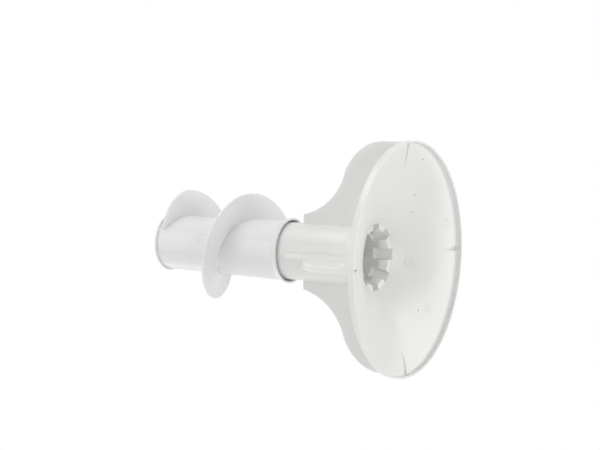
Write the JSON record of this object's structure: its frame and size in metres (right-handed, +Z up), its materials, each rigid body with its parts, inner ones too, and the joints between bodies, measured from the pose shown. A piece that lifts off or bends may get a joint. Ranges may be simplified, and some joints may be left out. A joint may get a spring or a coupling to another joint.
{
  "type": "washing machine agitator",
  "caption": "Dual-action washer agitator: trumpet skirt with tall curved fins, hollow column with castellated drive socket, and a turning auger sleeve with one spiral vane.",
  "frame": {"origin": "centre of the rim's lower edge, on the column's axis", "axes": "+Z up the column from the skirt's mouth to the cap; the fins lie on +X, +Y, -X and -Y"},
  "size_m": [0.33, 0.33, 0.4085],
  "materials": {
    "white_moulding": "glossy moulded polypropylene",
    "white_auger": "glossy moulded polypropylene",
    "white_cap": "glossy moulded polypropylene",
    "bearing_plastic": "natural acetal",
    "washer_plastic": "dark filled nylon",
    "cam_plastic": "black moulded nylon",
    "dog_plastic": "natural acetal",
    "retainer_plastic": "moulded acetal",
    "barrier_plastic": "blue-grey moulded plastic",
    "seal_rubber": "black nitrile rubber",
    "bolt_steel": "zinc-plated steel"
  },
  "bodies": {
    "base": {"agitator_base": "white_moulding", "lower_bearing": "bearing_plastic", "thrust_washer": "washer_plastic", "clutch_cam": "cam_plastic", "inner_cap": "barrier_plastic", "inner_cap_seal": "seal_rubber", "mounting_bolt": "bolt_steel", "bolt_washer": "bolt_steel", "bolt_seal": "seal_rubber"},
    "auger_sleeve": {"auger": "white_auger", "dust_cap": "white_cap", "clutch_retainer": "retainer_plastic"},
    "clutch_dog_1": {"dog_1": "dog_plastic"},
    "clutch_dog_2": {"dog_2": "dog_plastic"},
    "clutch_dog_3": {"dog_3": "dog_plastic"},
    "clutch_dog_4": {"dog_4": "dog_plastic"}
  },
  "joints": [
    {"name": "auger_spin", "type": "hinge", "parent": "base", "child": "auger_sleeve", "pos_m": [0, 0, 0.25], "axis": [0, 0, 1], "continuous": true},
    {"name": "dog_1_swing", "type": "hinge", "parent": "base", "child": "clutch_dog_1", "pos_m": [0.02266, 0.01057, 0.333], "axis": [0, 0, 1], "range_deg": [0, 10]},
    {"name": "dog_2_swing", "type": "hinge", "parent": "base", "child": "clutch_dog_2", "pos_m": [-0.01057, 0.02266, 0.333], "axis": [0, 0, 1], "range_deg": [0, 10]},
    {"name": "dog_3_swing", "type": "hinge", "parent": "base", "child": "clutch_dog_3", "pos_m": [-0.02266, -0.01057, 0.333], "axis": [0, 0, 1], "range_deg": [0, 10]},
    {"name": "dog_4_swing", "type": "hinge", "parent": "base", "child": "clutch_dog_4", "pos_m": [0.01057, -0.02266, 0.333], "axis": [0, 0, 1], "range_deg": [0, 10]}
  ],
  "couplings": [
    {"joint": "dog_2_swing", "follows": "dog_1_swing", "ratio": 1},
    {"joint": "dog_3_swing", "follows": "dog_1_swing", "ratio": 1},
    {"joint": "dog_4_swing", "follows": "dog_1_swing", "ratio": 1}
  ]
}
